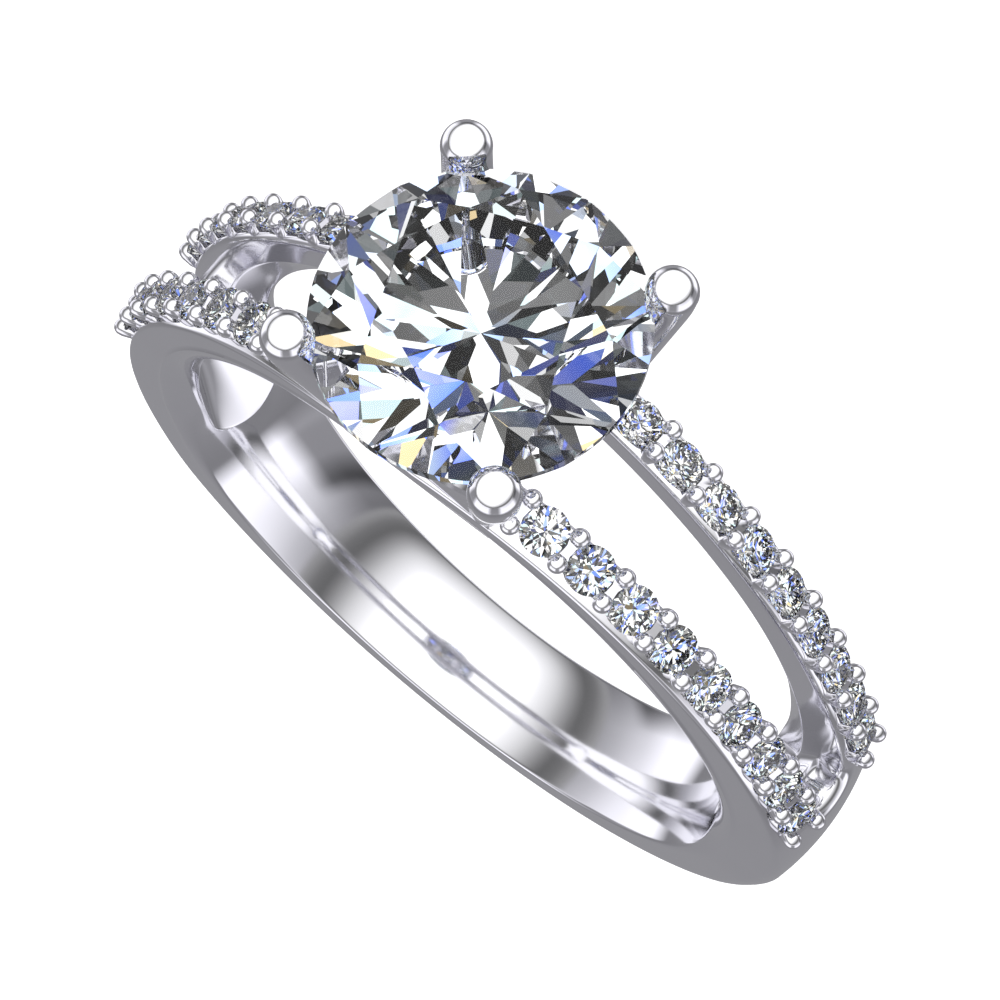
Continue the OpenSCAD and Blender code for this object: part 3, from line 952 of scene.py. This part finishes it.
def room_light(tree, way):
    """Four walls that grow lighter downwards, with dark seams in the lower corners, and a grey ground."""
    across, along = dot(tree, way, WALL_X), dot(tree, way, WALL_Y)
    down = math_node(tree, "DIVIDE", math_node(tree, "ARCCOSINE", dot(tree, way, UP)), math.pi)
    side = ramp(tree, math_node(tree, "MULTIPLY_ADD", along, 0.5, 0.5), SIDE_STOPS)
    even = ramp(tree, down, EVEN_STOPS)
    side = math_node(tree, "MULTIPLY", side, math_node(tree, "SUBTRACT", 1, even))
    side = math_node(tree, "ADD", side, math_node(tree, "MULTIPLY", even, EVEN_LIGHT))
    squares = [math_node(tree, "MULTIPLY", part, part) for part in (across, along)]
    level = math_node(tree, "ADD", math_node(tree, "ADD", *squares), NOT_ZERO)
    corner = math_node(tree, "ABSOLUTE", math_node(tree, "MULTIPLY", across, along))
    corner = math_node(tree, "DIVIDE", corner, level)
    seam = math_node(tree, "MULTIPLY", ramp(tree, corner, CORNER_STOPS), ramp(tree, down, SEAM_STOPS))
    lit = math_node(tree, "MULTIPLY", ramp(tree, down, WALL_STOPS), side)
    lit = math_node(tree, "MULTIPLY", lit, math_node(tree, "SUBTRACT", 1, seam))
    lit = math_node(tree, "MULTIPLY", lit, WALLS)
    room = math_node(tree, "ADD", ramp(tree, down, GROUND_STOPS), lit)
    tint = tree.nodes.new("ShaderNodeCombineColor")
    for socket, share in zip(tint.inputs, ROOM_TINT):
        tree.links.new(math_node(tree, "MULTIPLY", room, share), socket)
    light = tree.nodes.new("ShaderNodeBackground")
    tree.links.new(tint.outputs[0], light.inputs["Color"])
    return light.outputs[0]


def cards_light(tree, way):
    """Cells of different light all round, with a soft change of colour over them."""
    link = tree.links.new
    cells = tree.nodes.new("ShaderNodeTexVoronoi")
    cells.inputs["Scale"].default_value = CELLS
    turn = tree.nodes.new("ShaderNodeVectorRotate")
    turn.inputs["Axis"].default_value = CARD_AXIS
    turn.inputs["Angle"].default_value = CARD_TURN
    link(way, turn.inputs["Vector"])
    link(turn.outputs[0], cells.inputs["Vector"])
    part = tree.nodes.new("ShaderNodeSeparateColor")
    link(cells.outputs["Color"], part.inputs[0])
    starts = [sum(share for share, level in CARDS[:k]) for k in range(len(CARDS))]
    stops = [(at, level) for at, (share, level) in zip(starts, CARDS)]
    card = ramp(tree, part.outputs[0], stops, "CONSTANT")
    uneven = math_node(tree, "MULTIPLY_ADD", cells.outputs["Distance"], CARD_FALL, CARD_MIDDLE)
    fire = tree.nodes.new("ShaderNodeTexNoise")
    fire.inputs["Scale"].default_value = FIRE
    fire.inputs["Detail"].default_value = 1
    link(way, fire.inputs["Vector"])
    mix = tree.nodes.new("ShaderNodeVectorMath")
    mix.operation = "MULTIPLY"
    link(ramp(tree, fire.outputs["Fac"], FIRE_TONES), mix.inputs[0])
    link(math_node(tree, "MULTIPLY", card, uneven), mix.inputs[1])
    light = tree.nodes.new("ShaderNodeBackground")
    light.inputs["Strength"].default_value = CARD_LIGHT
    link(mix.outputs[0], light.inputs["Color"])
    return light.outputs[0]


def studio_world():
    """A room round the standing ring. Light that has passed a stone meets the cards in its place."""
    world = bpy.data.worlds.new("studio")
    bpy.context.scene.world = world
    world.use_nodes = True
    tree = world.node_tree
    tree.nodes.clear()
    way = tree.nodes.new("ShaderNodeTexCoord").outputs["Generated"]
    choose = tree.nodes.new("ShaderNodeMixShader")
    passed = tree.nodes.new("ShaderNodeLightPath").outputs["Is Transmission Ray"]
    for socket, value in zip(choose.inputs, (passed, room_light(tree, way), cards_light(tree, way))):
        tree.links.new(value, socket)
    tree.links.new(choose.outputs[0], tree.nodes.new("ShaderNodeOutputWorld").inputs["Surface"])


studio_world()

# the photo's camera in the frame of the standing ring: its ways right, down and ahead, and its place
CAMERA_RIGHT = (0.77446244, 0.63258286, -0.00684587)
CAMERA_DOWN = (0.58251045, -0.71729695, -0.38231748)
CAMERA_AHEAD = (-0.24675801, 0.29210274, -0.92400567)
CAMERA_PLACE = (15.646, -17.975, 62.219)
# its focal length and the picture's width, both in pixels, and the width of the sensor
FOCAL, PICTURE, SENSOR = 2463.44, 1000, 36

in_ring = Matrix((CAMERA_RIGHT, -Vector(CAMERA_DOWN), -Vector(CAMERA_AHEAD))).transposed().to_4x4()
in_ring.translation = CAMERA_PLACE
placed = REST @ in_ring
placed.translation /= MM_PER_M
camera = bpy.data.objects.new("camera", bpy.data.cameras.new("camera"))
bpy.context.scene.collection.objects.link(camera)
camera.matrix_world = placed
camera.data.sensor_width = SENSOR
camera.data.lens = SENSOR * FOCAL / PICTURE
camera.data.clip_start, camera.data.clip_end = 0.005, 20
bpy.context.scene.camera = camera

scene = bpy.context.scene
scene.view_settings.view_transform = "Standard"
scene.cycles.max_bounces = 24
scene.cycles.transmission_bounces = 10
scene.cycles.glossy_bounces = 8
scene.cycles.sample_clamp_indirect = 12
scene.cycles.use_denoising = True
scene.cycles.caustics_reflective = True
scene.cycles.caustics_refractive = True
